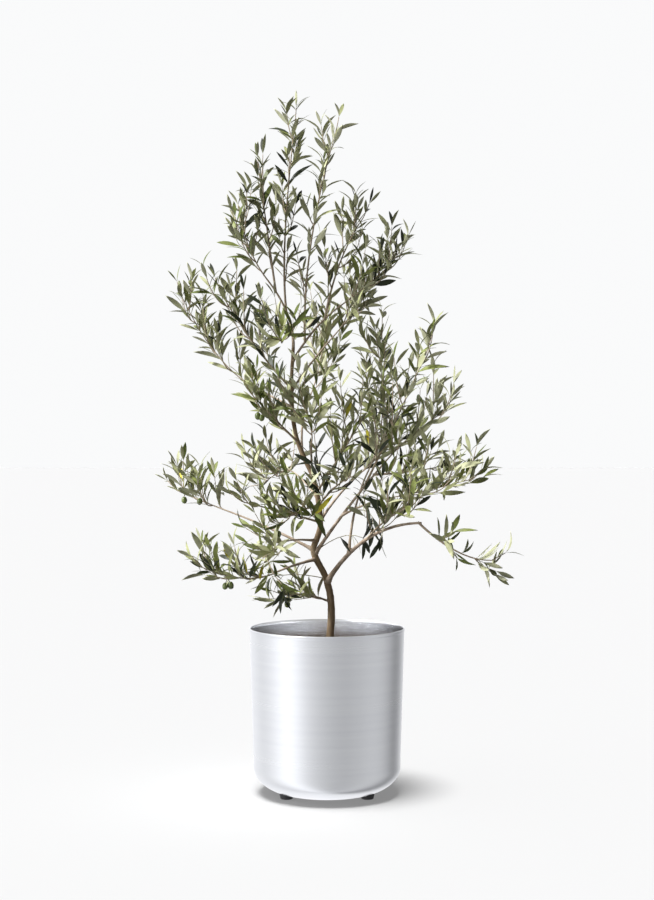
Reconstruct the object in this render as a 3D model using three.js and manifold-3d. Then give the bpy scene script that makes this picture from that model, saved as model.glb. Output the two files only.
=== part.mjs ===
// A young olive tree, about 1.5 m tall, planted in a spun aluminium pot on four rubber feet.
// Millimetres, +Z up. The origin is on the floor, on the pot's axis; +Y is the back of the crown.
import * as THREE from 'three';
import { mergeVertices } from 'three/addons/utils/BufferGeometryUtils.js';
import Module from 'manifold-3d';

const wasm = await Module();
wasm.setup();

// ---- Driving dimensions ----

const GAP = 0.3; // between pieces that touch

const POT = {
  rimHeight: 361,
  rimRadius: 170,
  lowRadius: 161, // where the wall meets the rounded foot
  baseHeight: 4, // flat underside above the floor
  flatRadius: 80, // of that underside
  cornerRise: 56, // height of the rounded corner
  wall: 2,
  hemHeight: 7, // the rim is folded over to double thickness
  hemStep: 0.6,
  cornerSteps: 4,
  sides: 36,
};

const SOIL = { belowRim: 58, crown: 5, steps: 2 };
const SOIL_TOP = POT.rimHeight - SOIL.belowRim + SOIL.crown;

const FOOT = { x: 87, y: 62, bottomRadius: 13, topRadius: 18, height: 30, sides: 12 };

// The trunk's line from just under the soil's surface to its top fork, and its radius along it.
// It is cut flat where it meets the soil.
const TRUNK = {
  line: [
    [4, 0, 298], [9, 0, 412], [-2, 0, 468], [-29, -3, 530],
    [-15, 0, 580], [-27, 4, 677], [-66, 8, 774], [-78, 8, 872], [-74, 5, 975],
  ],
  rootRadius: 9.2,
  tipRadius: 3.7,
  thinning: 0.8, // power of the taper
  flare: 5.5, // added radius at the soil
  flareHeight: 15, // in which the flare falls to a third
  segments: 24,
  sides: 8,
};

// Main boughs: each leaves its parent limb at a share of the parent's length, bends once and
// ends where it enters its foliage. Radii run from the parent to the tip.
const BOUGHS = [
  {
    name: 'low_right', from: 'trunk', at: 0.235, bend: [78, -62, 592], tip: [197, -150, 597],
    radii: [5.6, 3.4],
  },
  {
    name: 'riser', from: 'low_right', at: 0.3, bend: [54, -24, 630], tip: [91, 0, 705],
    radii: [3.3, 2.4],
  },
  {
    name: 'right', from: 'trunk', at: 0.33, bend: [34, -26, 616], tip: [125, -60, 724],
    radii: [4.2, 2.8],
  },
  {
    name: 'right_low', from: 'right', at: 0.42, bend: [92, -80, 640], tip: [124, -96, 646],
    radii: [2.6, 2.2],
  },
  {
    name: 'mid_left', from: 'trunk', at: 0.345, bend: [-130, 30, 582], tip: [-216, 54, 612],
    radii: [3.8, 2.4],
  },
  {
    name: 'low_left', from: 'trunk', at: 0.315, bend: [-80, -48, 500], tip: [-112, -70, 486],
    radii: [3.6, 2.6],
  },
  {
    name: 'inner_left', from: 'trunk', at: 0.375, bend: [-50, -36, 556], tip: [-72, -58, 556],
    radii: [3.2, 2.5],
  },
  {
    name: 'back_right', from: 'trunk', at: 0.44, bend: [22, 70, 650], tip: [70, 150, 690],
    radii: [3.4, 2.4],
  },
  {
    name: 'back_left', from: 'trunk', at: 0.5, bend: [-40, 80, 676], tip: [-78, 142, 700],
    radii: [3.2, 2.3],
  },
  {
    name: 'front', from: 'trunk', at: 0.58, bend: [-36, -60, 746], tip: [-32, -108, 772],
    radii: [3, 2.3],
  },
  {
    name: 'back', from: 'trunk', at: 0.66, bend: [-62, 84, 815], tip: [-40, 132, 868],
    radii: [2.9, 2.2],
  },
  {
    name: 'upper_left', from: 'trunk', at: 0.81, bend: [-110, 36, 862], tip: [-156, 64, 886],
    radii: [3.1, 2.2],
  },
  {
    name: 'mid_right', from: 'trunk', at: 0.86, bend: [-50, 44, 930], tip: [20, 66, 1010],
    radii: [2.8, 2.2],
  },
  {
    name: 'top_left', from: 'trunk', at: 1, tip: [-130, -28, 1120],
    radii: [3.6, 2.4],
  },
  {
    name: 'top_right', from: 'trunk', at: 0.955, bend: [-30, 18, 1026], tip: [34, 34, 1072],
    radii: [3, 2.3],
  },
];
const BOUGH = { segments: 6, sides: 6 };

// Masses of foliage. Each grows from its own stem, which carries straight on from the tip of a
// limb, or springs from its side with a bend, and ends at tip. Its shoots reach that far out.
const MASSES = [
  {
    name: 'droop', from: 'low_right', at: 0.98, bend: [276, -170, 517], tip: [341, -190, 522],
    reach: 20, shoots: 2, lift: 0.3,
  },
  {
    name: 'right_low', from: 'right_low', at: 1, tip: [298, -160, 688],
    reach: 76, shoots: 8, lift: 1,
  },
  {
    name: 'centre_low', from: 'low_right', at: 0.5, bend: [124, -130, 612], tip: [176, -186, 634],
    reach: 96, shoots: 9, lift: 1.6,
  },
  {
    name: 'right_edge', from: 'right', at: 0.72, bend: [142, -88, 800], tip: [214, -92, 962],
    reach: 80, shoots: 6, lift: 2.6,
  },
  {
    name: 'right_mid', from: 'right', at: 0.86, bend: [170, -84, 700], tip: [240, -90, 714],
    reach: 76, shoots: 7, lift: 2,
  },
  {
    name: 'right_high', from: 'riser', at: 1, tip: [110, -10, 976],
    reach: 118, shoots: 7, lift: 2.4,
  },
  {
    name: 'right', from: 'right', at: 1, tip: [250, -20, 830],
    reach: 130, shoots: 5, lift: 3,
  },
  {
    name: 'mid_left', from: 'mid_left', at: 1, tip: [-338, 98, 658],
    reach: 60, shoots: 6, lift: 3,
  },
  {
    name: 'low_left', from: 'low_left', at: 1, tip: [-262, -130, 502],
    reach: 44, shoots: 6, lift: 0.8,
  },
  {
    name: 'lowest', from: 'trunk', at: 0.17, bend: [-50, -26, 444], tip: [-90, -50, 436],
    reach: 30, shoots: 4, lift: 0.3,
  },
  {
    name: 'inner_left', from: 'inner_left', at: 1, tip: [-136, -120, 520],
    reach: 62, shoots: 7, lift: 0.4,
  },
  {
    name: 'low_front', from: 'trunk', at: 0.49, bend: [-56, -70, 622], tip: [-88, -118, 606],
    reach: 66, shoots: 7, lift: 0.8,
  },
  {
    name: 'centre_left', from: 'trunk', at: 0.435, bend: [-90, -60, 616], tip: [-180, -110, 640],
    reach: 90, shoots: 8, lift: 1.8,
  },
  {
    name: 'centre', from: 'trunk', at: 0.53, bend: [30, -60, 740], tip: [84, -104, 828],
    reach: 110, shoots: 8, lift: 2,
  },
  {
    name: 'centre_front', from: 'trunk', at: 0.49, bend: [20, -44, 680], tip: [56, -84, 694],
    reach: 64, shoots: 4, lift: 1.2,
  },
  {
    name: 'front', from: 'front', at: 1, tip: [-50, -160, 850],
    reach: 96, shoots: 7, lift: 1.5,
  },
  {
    name: 'back_right', from: 'back_right', at: 1, tip: [140, 206, 770],
    reach: 100, shoots: 7, lift: 1.6,
  },
  {
    name: 'back_left', from: 'back_left', at: 1, tip: [-150, 200, 670],
    reach: 90, shoots: 6, lift: 1.6,
  },
  {
    name: 'back', from: 'back', at: 1, tip: [-4, 176, 1024],
    reach: 100, shoots: 7, lift: 1.6,
  },
  {
    name: 'left_mid', from: 'trunk', at: 0.7, bend: [-110, -40, 812], tip: [-166, -60, 874],
    reach: 76, shoots: 6, lift: 1.8,
  },
  {
    name: 'left_high', from: 'trunk', at: 0.87, bend: [-160, -20, 968], tip: [-232, -26, 1094],
    reach: 100, shoots: 7, lift: 2.4,
  },
  {
    name: 'upper_left', from: 'upper_left', at: 1, tip: [-330, 110, 1100],
    reach: 60, shoots: 8, lift: 3,
  },
  {
    name: 'mid_right', from: 'mid_right', at: 1, tip: [80, 124, 1090],
    reach: 84, shoots: 7, lift: 2.4,
  },
  {
    name: 'top_left', from: 'top_left', at: 1, tip: [-188, -34, 1250],
    reach: 90, shoots: 6, lift: 2.4,
  },
  {
    name: 'high_left', from: 'top_left', at: 0.8, bend: [-132, -14, 1240], tip: [-148, -20, 1354],
    reach: 56, shoots: 6, lift: 2.4,
  },
  {
    name: 'upper_front', from: 'top_left', at: 0.3, bend: [-92, -60, 990], tip: [-96, -110, 976],
    reach: 96, shoots: 6, lift: 1.6,
  },
  {
    name: 'top', from: 'top_left', at: 0.5, bend: [-104, 10, 1190], tip: [-70, 10, 1470],
    reach: 46, shoots: 7, lift: 2.6,
  },
  {
    name: 'upper_right', from: 'top_right', at: 0.7, bend: [20, 60, 1180], tip: [82, 64, 1270],
    reach: 76, shoots: 6, lift: 2.4,
  },
  {
    name: 'top_right', from: 'top_right', at: 1, tip: [146, 36, 1166],
    reach: 98, shoots: 8, lift: 2.2,
  },
  {
    name: 'spire', from: 'top_right', at: 0.3, bend: [-56, 4, 1190], tip: [20, 10, 1450],
    reach: 48, shoots: 7, lift: 2.4,
  },
];

const ELBOW_SHARE = 0.45; // how far a limb runs straight on from its parent's tip
const STEM = {
  radius: 3.2,
  tipRadius: 2.2,
  segments: 5,
  shoots: [0.12, 0.97], // shares of its length at which they spring
  leafless: 0.4, // share of its length below its first leaf
};
const SHOOT = {
  radius: 1.5,
  tipRadius: 1.2,
  segments: 2,
  spread: [36, 62], // degrees from the stem
  turnScatter: 0.4, // radians either way of the golden angle
  shortest: 30,
  elbow: 0.35, // share of its length at which it bends upwards
  lengths: [0.75, 1.2], // of the mass's reach
  rootGain: 1.12, // shoots are this much longer at the stem's foot
  taper: 0.45, // and lose this much towards its tip
};
const LEAF = {
  length: 80,
  width: 21,
  thickness: 2,
  widestAt: 0.4,
  sizes: [0.8, 1.15],
  spacing: 58,
  bareLength: 24, // of a shoot below its first leaf
  angle: [28, 46], // degrees from the shoot
  sunk: 0.3,
};
const LOWEST_LEAF = 374; // nothing of the crown hangs into the pot

// Olives, each hung from the shoot of its mass that passes nearest.
const OLIVE = { width: 13, height: 16, stalk: 9, stalkRadius: 0.9, droop: 0.8 };
const OLIVES = [
  { mass: 'left_mid', at: [-196, -60, 826] },
  { mass: 'left_mid', at: [-152, -70, 800] },
  { mass: 'upper_front', at: [-86, -80, 1032] },
  { mass: 'mid_left', at: [-330, 90, 616] },
  { mass: 'mid_left', at: [-290, 60, 640] },
  { mass: 'low_left', at: [-190, -104, 456] },
  { mass: 'low_left', at: [-224, -120, 452] },
  { mass: 'lowest', at: [-104, -56, 388] },
  { mass: 'inner_left', at: [-104, -90, 606] },
  { mass: 'right', at: [176, -70, 750] },
];

const UP = new THREE.Vector3(0, 0, 1);
const GOLDEN_ANGLE = (137.508 * Math.PI) / 180;
const MERGE_DISTANCE = 1e-4;
const ROD_MARGIN = 0.5; // for the flat facets between a rod and its limb

// ---- Helpers ----

// A repeatable stream of numbers, each picked between two limits.
function seeded(seed) {
  let state = seed >>> 0;
  return (low, high) => {
    state = (state + 0x6d2b79f5) >>> 0;
    let t = Math.imul(state ^ (state >>> 15), state | 1);
    t ^= t + Math.imul(t ^ (t >>> 7), t | 61);
    return low + ((high - low) * ((t ^ (t >>> 14)) >>> 0)) / 2 ** 32;
  };
}

const mix = THREE.MathUtils.lerp;
const radians = THREE.MathUtils.degToRad;
const point = (xyz) => new THREE.Vector3(...xyz);
const along = (origin, direction, distance) => origin.clone().addScaledVector(direction, distance);

// A unit vector square to direction, turned about it by angle.
function sideways(direction, angle) {
  const helper = Math.abs(direction.z) < 0.9 ? UP : new THREE.Vector3(1, 0, 0);
  return new THREE.Vector3().crossVectors(direction, helper).normalize().applyAxisAngle(direction, angle);
}

// A unit vector at an angle from ahead, leaning towards out.
function leaning(ahead, out, angle) {
  return ahead.clone().multiplyScalar(Math.cos(angle)).addScaledVector(out, Math.sin(angle));
}

// A closed geometry as a solid for booleans: shared corners merged, collapsed faces dropped.
function toSolid(geometry) {
  geometry.deleteAttribute('normal');
  geometry.deleteAttribute('uv');
  const merged = mergeVertices(geometry, MERGE_DISTANCE);
  const corners = merged.index.array;
  const triVerts = [];
  for (let i = 0; i < corners.length; i += 3) {
    const [a, b, c] = corners.slice(i, i + 3);
    if (a !== b && b !== c && c !== a) triVerts.push(a, b, c);
  }
  const vertProperties = new Float32Array(merged.attributes.position.array);
  const mesh = new wasm.Mesh({ numProp: 3, vertProperties, triVerts: new Uint32Array(triVerts) });
  return new wasm.Manifold(mesh);
}

// The largest body of a solid: loose scraps are dropped and sealed hollows filled.
function mainBody(solid) {
  return solid.decompose().reduce((best, body) => (body.volume() > best.volume() ? body : best));
}

function toGeometry(solid) {
  const { vertProperties, triVerts, numProp } = solid.getMesh();
  const position = new Float32Array((vertProperties.length / numProp) * 3);
  for (let i = 0; i < position.length; i += 1) {
    position[i] = vertProperties[Math.floor(i / 3) * numProp + (i % 3)];
  }
  const geometry = new THREE.BufferGeometry();
  geometry.setAttribute('position', new THREE.BufferAttribute(position, 3));
  geometry.setIndex(Array.from(triVerts));
  geometry.computeVertexNormals();
  return geometry;
}

// A closed solid from rings of corners, each ring joined to the next, with flat or pointed ends.
function lofted(rings) {
  const sides = rings[0].length;
  const faces = [];
  for (let i = 0; i + 1 < rings.length; i += 1) {
    for (let k = 0; k < sides; k += 1) {
      const [a, b] = [i * sides + k, i * sides + ((k + 1) % sides)];
      faces.push(a, b, b + sides, a, b + sides, a + sides);
    }
  }
  const last = (rings.length - 1) * sides;
  for (let k = 1; k < sides - 1; k += 1) {
    faces.push(0, k + 1, k);
    faces.push(last, last + k, last + k + 1);
  }
  const geometry = new THREE.BufferGeometry().setFromPoints(rings.flat());
  geometry.setIndex(faces);
  return toSolid(geometry);
}

// Rings of corners round a curve, one at each step.
function ringsAlong(curve, radiusAt, sides, segments) {
  const { normals, binormals } = curve.computeFrenetFrames(segments, false);
  return Array.from({ length: segments + 1 }, (_, i) => {
    const share = i / segments;
    const centre = curve.getPointAt(share);
    return Array.from({ length: sides }, (__, k) => {
      const turn = (k / sides) * 2 * Math.PI;
      const corner = along(centre, normals[i], radiusAt(share) * Math.cos(turn));
      return corner.addScaledVector(binormals[i], radiusAt(share) * Math.sin(turn));
    });
  });
}

// The point at a share of the curve, on the straight chords between its rings.
function onChords(curve, segments, share) {
  const ring = Math.min(Math.floor(share * segments), segments - 1);
  const from = curve.getPointAt(ring / segments);
  return from.lerp(curve.getPointAt((ring + 1) / segments), share * segments - ring);
}

function limb(curve, radiusAt, sides, segments) {
  return lofted(ringsAlong(curve, radiusAt, sides, segments));
}

// ---- Room between the pieces of the crown ----

// Every limb, twig and leaf is also kept as short rounded rods, so that a new one can be
// tested against all that belong to other pieces.
const rods = [];

function rodDistance(p, q) {
  const u = p.end.clone().sub(p.start);
  const v = q.end.clone().sub(q.start);
  const w = p.start.clone().sub(q.start);
  const [a, b, c, d, e] = [u.dot(u), u.dot(v), v.dot(v), u.dot(w), v.dot(w)];
  const spread = a * c - b * b;
  let s = spread > 1e-6 ? THREE.MathUtils.clamp((b * e - c * d) / spread, 0, 1) : 0;
  const t = THREE.MathUtils.clamp((b * s + e) / c, 0, 1);
  s = THREE.MathUtils.clamp((b * t - d) / a, 0, 1);
  return along(p.start, u, s).distanceTo(along(q.start, v, t));
}

function hasRoom(rod) {
  if (Math.min(rod.start.z, rod.end.z) - rod.radius < LOWEST_LEAF) return false;
  return rods.every((other) => other.owner === rod.owner
    || rodDistance(rod, other) > rod.radius + other.radius + GAP);
}

function rodsAlong(curve, radiusAt, segments, owner) {
  return Array.from({ length: segments }, (_, i) => ({
    start: curve.getPointAt(i / segments),
    end: curve.getPointAt((i + 1) / segments),
    radius: radiusAt((i + 0.5) / segments) + ROD_MARGIN,
    owner,
  }));
}

// ---- Pot, soil and feet ----

// Quarter-ellipse corner of the pot, inset by the wall for the inside.
function cornerProfile(inset) {
  const reach = POT.lowRadius - POT.flatRadius - inset;
  const rise = POT.cornerRise - inset;
  return Array.from({ length: POT.cornerSteps + 1 }, (_, i) => {
    const turn = (i / POT.cornerSteps) * (Math.PI / 2);
    return new THREE.Vector2(
      POT.flatRadius + reach * Math.sin(turn),
      POT.baseHeight + POT.cornerRise - rise * Math.cos(turn),
    );
  });
}

function wallRadius(height) {
  const foot = POT.baseHeight + POT.cornerRise;
  return mix(POT.lowRadius, POT.rimRadius, (height - foot) / (POT.rimHeight - foot));
}

function turned(profile, sides) {
  return toSolid(new THREE.LatheGeometry(profile, sides).rotateX(Math.PI / 2));
}

function potSolid() {
  const { rimHeight, rimRadius, hemHeight, hemStep, wall, baseHeight, sides } = POT;
  const hemFoot = rimHeight - hemHeight;
  const profile = [
    new THREE.Vector2(0, baseHeight),
    ...cornerProfile(0),
    new THREE.Vector2(wallRadius(hemFoot) - hemStep, hemFoot),
    new THREE.Vector2(wallRadius(hemFoot), hemFoot + hemStep),
    new THREE.Vector2(rimRadius, rimHeight),
    new THREE.Vector2(rimRadius - wall - hemStep, rimHeight),
    new THREE.Vector2(wallRadius(hemFoot) - wall - hemStep, hemFoot),
    ...cornerProfile(wall).reverse(),
    new THREE.Vector2(0, baseHeight + wall),
  ];
  return turned(profile, sides);
}

function soilSolid() {
  const inset = POT.wall + GAP;
  const top = POT.rimHeight - SOIL.belowRim;
  const edge = wallRadius(top) - inset - POT.hemStep;
  const dome = Array.from({ length: SOIL.steps + 1 }, (_, i) => {
    const share = 1 - i / SOIL.steps;
    return new THREE.Vector2(edge * share, top + SOIL.crown * (1 - share * share));
  });
  const profile = [
    new THREE.Vector2(0, POT.baseHeight + inset),
    ...cornerProfile(inset),
    ...dome,
  ];
  return turned(profile, POT.sides);
}

// A rubber foot: a short cone from the floor, hollowed by the pot's rounded underside.
function footSolid(x, y, potClearance) {
  const { bottomRadius, topRadius, height, sides } = FOOT;
  const cone = new THREE.CylinderGeometry(topRadius, bottomRadius, height, sides);
  cone.rotateX(Math.PI / 2).translate(x, y, height / 2);
  return mainBody(toSolid(cone).subtract(potClearance));
}

// The pot's outer form, grown by the gap, with nothing hollow inside.
function potClearanceSolid() {
  const profile = [
    new THREE.Vector2(0, POT.baseHeight - GAP),
    ...cornerProfile(-GAP),
    new THREE.Vector2(POT.rimRadius + GAP, POT.rimHeight),
    new THREE.Vector2(0, POT.rimHeight),
  ];
  return turned(profile, POT.sides);
}

// ---- Trunk and boughs ----

function trunkRadius(share) {
  const height = share * trunkCurve.getLength();
  const flare = TRUNK.flare * Math.exp(-height / TRUNK.flareHeight);
  return mix(TRUNK.rootRadius, TRUNK.tipRadius, share ** TRUNK.thinning) + flare;
}

const trunkCurve = new THREE.CatmullRomCurve3(TRUNK.line.map(point), false, 'centripetal');

// Everything below the level of the trunk's flat cut.
function groundSolid() {
  const depth = 40;
  const block = new THREE.CylinderGeometry(depth, depth, depth, 8).rotateX(Math.PI / 2);
  return toSolid(block.translate(0, 0, SOIL_TOP + GAP - depth / 2));
}

// Curve, radius and solids of every limb by name.
const limbs = new Map();

function addLimb(name, curve, radiusAt, sides, segments) {
  let solid = limb(curve, radiusAt, sides, segments).subtract(groundSolid());
  for (const other of limbs.values()) solid = solid.subtract(other.clearance);
  limbs.set(name, {
    curve,
    radiusAt,
    solid: mainBody(solid),
    clearance: limb(curve, (share) => radiusAt(share) + GAP, sides, segments),
  });
  rods.push(...rodsAlong(curve, radiusAt, segments * 2, name));
}

// Where a limb or stem leaves its parent: on the parent's centre line, or, at the parent's tip,
// a gap beyond its end face.
function startOn(parentName, share) {
  const { curve } = limbs.get(parentName);
  const start = curve.getPointAt(share);
  return share < 1 ? start : along(start, curve.getTangentAt(1), GAP);
}

// The curve of a limb or stem, which bends once on its way to its tip. With no bend of its own
// it runs straight on from its parent first.
function limbCurve({ from, at, bend, tip }) {
  const start = startOn(from, at);
  const end = point(tip);
  const ahead = limbs.get(from).curve.getTangentAt(at);
  const elbow = bend ? point(bend) : along(start, ahead, start.distanceTo(end) * ELBOW_SHARE);
  return new THREE.QuadraticBezierCurve3(start, elbow, end);
}

function addBough(bough) {
  const radiusAt = (share) => mix(...bough.radii, share);
  addLimb(bough.name, limbCurve(bough), radiusAt, BOUGH.sides, BOUGH.segments);
}

// ---- Foliage ----

// One shoot: it leaves the stem at an angle and turns upwards as it grows.
function shootCurve(mass, stem, number, random) {
  const share = mix(...STEM.shoots, (number + random(0, 0.6)) / mass.shoots);
  const start = onChords(stem, STEM.segments, share);
  const ahead = stem.getTangentAt(share);
  const out = sideways(ahead, number * GOLDEN_ANGLE + random(-SHOOT.turnScatter, SHOOT.turnScatter));
  const first = leaning(ahead, out, radians(random(...SHOOT.spread)));
  const last = first.clone().addScaledVector(UP, mass.lift).normalize();
  const reach = mass.reach * (SHOOT.rootGain - SHOOT.taper * share) * random(...SHOOT.lengths);
  const length = Math.max(SHOOT.shortest, reach);
  const elbow = along(start, first, length * SHOOT.elbow);
  const tip = along(elbow, last, length * (1 - SHOOT.elbow));
  return new THREE.QuadraticBezierCurve3(start, elbow, tip);
}

// Two side corners and a ridge across the widest part of a leaf, and its tip.
function leafRings(root, direction, flat, size) {
  const across = new THREE.Vector3().crossVectors(direction, flat).normalize();
  const waist = along(root, direction, LEAF.length * size * LEAF.widestAt);
  const tip = along(root, direction, LEAF.length * size);
  return [
    [
      along(waist, flat, LEAF.thickness),
      along(waist, across, (LEAF.width * size) / 2),
      along(waist, across, (-LEAF.width * size) / 2),
    ],
    [tip, tip, tip],
  ];
}

function leafSolid(root, direction, flat, size) {
  const sunk = along(root, direction, -LEAF.sunk);
  return lofted([[sunk, sunk, sunk], ...leafRings(root, direction, flat, size)]);
}

// The room that a leaf takes up.
function leafRod(root, direction, size, owner) {
  const radius = (LEAF.width * size) / 2;
  return {
    start: along(root, direction, radius),
    end: along(root, direction, LEAF.length * size - radius / 3),
    radius,
    owner,
  };
}

// A three-sided twig that runs out into its last leaf where there is room for it.
function twigSolid(curve, radiusAt, segments, owner) {
  const rings = ringsAlong(curve, radiusAt, 3, segments);
  const end = curve.getPointAt(1);
  const ahead = curve.getTangentAt(1);
  const rod = leafRod(end, ahead, 1, owner);
  if (!hasRoom(rod)) return lofted(rings);
  rods.push(rod);
  const flat = rings[segments][0].clone().sub(end).normalize();
  return lofted([...rings, ...leafRings(end, ahead, flat, 1)]);
}

// Leaves along one twig, each turned on from the last.
function addLeaves(parts, owner, twig, segments, bareLength, random) {
  const length = twig.getLength();
  const count = Math.max(1, Math.round((length - bareLength) / LEAF.spacing));
  for (let i = 0; i < count; i += 1) {
    const share = mix(bareLength / length, 1, (i + 0.3) / count);
    const root = onChords(twig, segments, share);
    const ahead = twig.getTangentAt(share);
    const out = sideways(ahead, i * GOLDEN_ANGLE + random(0, 1.2));
    const direction = leaning(ahead, out, radians(random(...LEAF.angle)));
    const flat = sideways(direction, random(0, Math.PI));
    const size = random(...LEAF.sizes);
    const rod = leafRod(root, direction, size, owner);
    if (hasRoom(rod)) {
      rods.push(rod);
      parts.push(leafSolid(root, direction, flat, size));
    }
  }
}

// The olive at a wished place, drawn in to the nearest twig until its stalk is short enough.
function addOlive(parts, twigs, place) {
  const wished = point(place);
  const gap = (candidate) => candidate.distanceTo(wished);
  const roots = twigs.map((twig) => onChords(twig, SHOOT.segments, 0.4));
  const root = roots.reduce((best, candidate) => (gap(candidate) < gap(best) ? candidate : best));
  const hang = wished.sub(root).normalize().addScaledVector(UP, -OLIVE.droop).normalize();
  const centre = along(root, hang, OLIVE.stalk + OLIVE.height / 2);
  const fruit = new THREE.IcosahedronGeometry(OLIVE.width / 2).scale(1, 1, OLIVE.height / OLIVE.width);
  parts.push(toSolid(fruit.translate(...centre)));
  parts.push(limb(new THREE.LineCurve3(root, centre), () => OLIVE.stalkRadius, 3, 1));
}

const stemRadius = (share) => mix(STEM.radius, STEM.tipRadius, share);
const shootRadius = (share) => mix(SHOOT.radius, SHOOT.tipRadius, share);

function massSolid(mass, owner, seed) {
  const stem = limbCurve(mass);
  const random = seeded(seed);
  const twigs = [];
  const parts = [];
  for (let i = 0; i < mass.shoots; i += 1) {
    const twig = shootCurve(mass, stem, i, random);
    const stretch = rodsAlong(twig, shootRadius, SHOOT.segments, owner);
    if (stretch.every(hasRoom)) {
      rods.push(...stretch);
      twigs.push(twig);
      parts.push(twigSolid(twig, shootRadius, SHOOT.segments, owner));
    }
  }
  let solid = twigSolid(stem, stemRadius, STEM.segments, owner);
  if (mass.at < 1) solid = mainBody(solid.subtract(limbs.get(mass.from).clearance));

  addLeaves(parts, owner, stem, STEM.segments, stem.getLength() * STEM.leafless, random);
  for (const twig of twigs) {
    addLeaves(parts, owner, twig, SHOOT.segments, LEAF.bareLength, random);
  }
  for (const { at } of OLIVES.filter((olive) => olive.mass === mass.name)) addOlive(parts, twigs, at);
  return mainBody(parts.reduce((sum, part) => sum.add(part), solid));
}

// ---- The part ----

const COLOURS = {
  aluminium: { color: 0xc9ccd0, roughness: 0.32, metalness: 1 },
  rubber: { color: 0x16161a, roughness: 0.7, metalness: 0 },
  soil: { color: 0x3b2c20, roughness: 1, metalness: 0 },
  bark: { color: 0x7d6650, roughness: 0.9, metalness: 0 },
  foliage: { color: 0x7f8a66, roughness: 0.6, metalness: 0 },
};

const tree = new THREE.Group();
tree.name = 'potted_olive_tree';

function addPiece(name, solid, look) {
  const mesh = new THREE.Mesh(toGeometry(solid), new THREE.MeshStandardMaterial(COLOURS[look]));
  mesh.name = name;
  tree.add(mesh);
}

addPiece('pot', potSolid(), 'aluminium');
addPiece('soil', soilSolid(), 'soil');
const potClearance = potClearanceSolid();
for (const [side, x] of [['left', -FOOT.x], ['right', FOOT.x]]) {
  for (const [end, y] of [['front', -FOOT.y], ['back', FOOT.y]]) {
    addPiece(`foot_${end}_${side}`, footSolid(x, y, potClearance), 'rubber');
  }
}

addLimb('trunk', trunkCurve, trunkRadius, TRUNK.sides, TRUNK.segments);
BOUGHS.forEach(addBough);
addPiece('trunk', limbs.get('trunk').solid, 'bark');
for (const { name } of BOUGHS) addPiece(`bough_${name}`, limbs.get(name).solid, 'bark');
for (const mass of MASSES) {
  rods.push(...rodsAlong(limbCurve(mass), stemRadius, STEM.segments * 2, `mass_${mass.name}`));
}
MASSES.forEach((mass, i) => {
  const name = `mass_${mass.name}`;
  addPiece(name, massSolid(mass, name, i + 1), 'foliage');
});

export default tree;
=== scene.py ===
"""A young olive tree in a spun aluminium pot: bark, twigs, leaves, olives, soil, pot and feet.

Lengths are in millimetres until a mesh is made. +Z is up and +Y is the back of the crown."""

import math

import bpy
import numpy as np
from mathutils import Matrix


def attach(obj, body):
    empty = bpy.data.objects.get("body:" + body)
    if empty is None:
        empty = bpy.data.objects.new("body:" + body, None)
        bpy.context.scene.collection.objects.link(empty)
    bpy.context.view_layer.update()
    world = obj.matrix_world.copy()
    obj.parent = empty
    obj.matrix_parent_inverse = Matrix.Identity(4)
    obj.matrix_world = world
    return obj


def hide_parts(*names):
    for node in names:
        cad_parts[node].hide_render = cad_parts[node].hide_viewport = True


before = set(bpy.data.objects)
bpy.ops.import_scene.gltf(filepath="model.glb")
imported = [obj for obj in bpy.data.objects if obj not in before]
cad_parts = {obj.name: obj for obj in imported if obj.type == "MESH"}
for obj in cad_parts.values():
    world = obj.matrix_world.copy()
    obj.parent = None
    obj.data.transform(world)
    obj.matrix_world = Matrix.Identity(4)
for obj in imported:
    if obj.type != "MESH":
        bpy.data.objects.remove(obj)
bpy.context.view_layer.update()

# ---- Sizes shared with the solids ----

GAP = 0.3
POT = dict(rim_height=361, rim_radius=170, low_radius=161, base_height=4, flat_radius=80,
           corner_rise=56, wall=2, hem_height=7, hem_step=0.6)
SOIL = dict(below_rim=58, crown=5)
SOIL_TOP = POT["rim_height"] - SOIL["below_rim"] + SOIL["crown"]
FOOT = dict(x=87, y=62, bottom_radius=13, top_radius=18)

TRUNK_LINE = [
    (4, 0, 298), (9, 0, 412), (-2, 0, 468), (-29, -3, 530),
    (-15, 0, 580), (-27, 4, 677), (-66, 8, 774), (-78, 8, 872), (-74, 5, 975),
]
TRUNK = dict(root_radius=9.2, tip_radius=3.7, thinning=0.8, flare=5.5, flare_height=15, segments=24)

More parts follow.
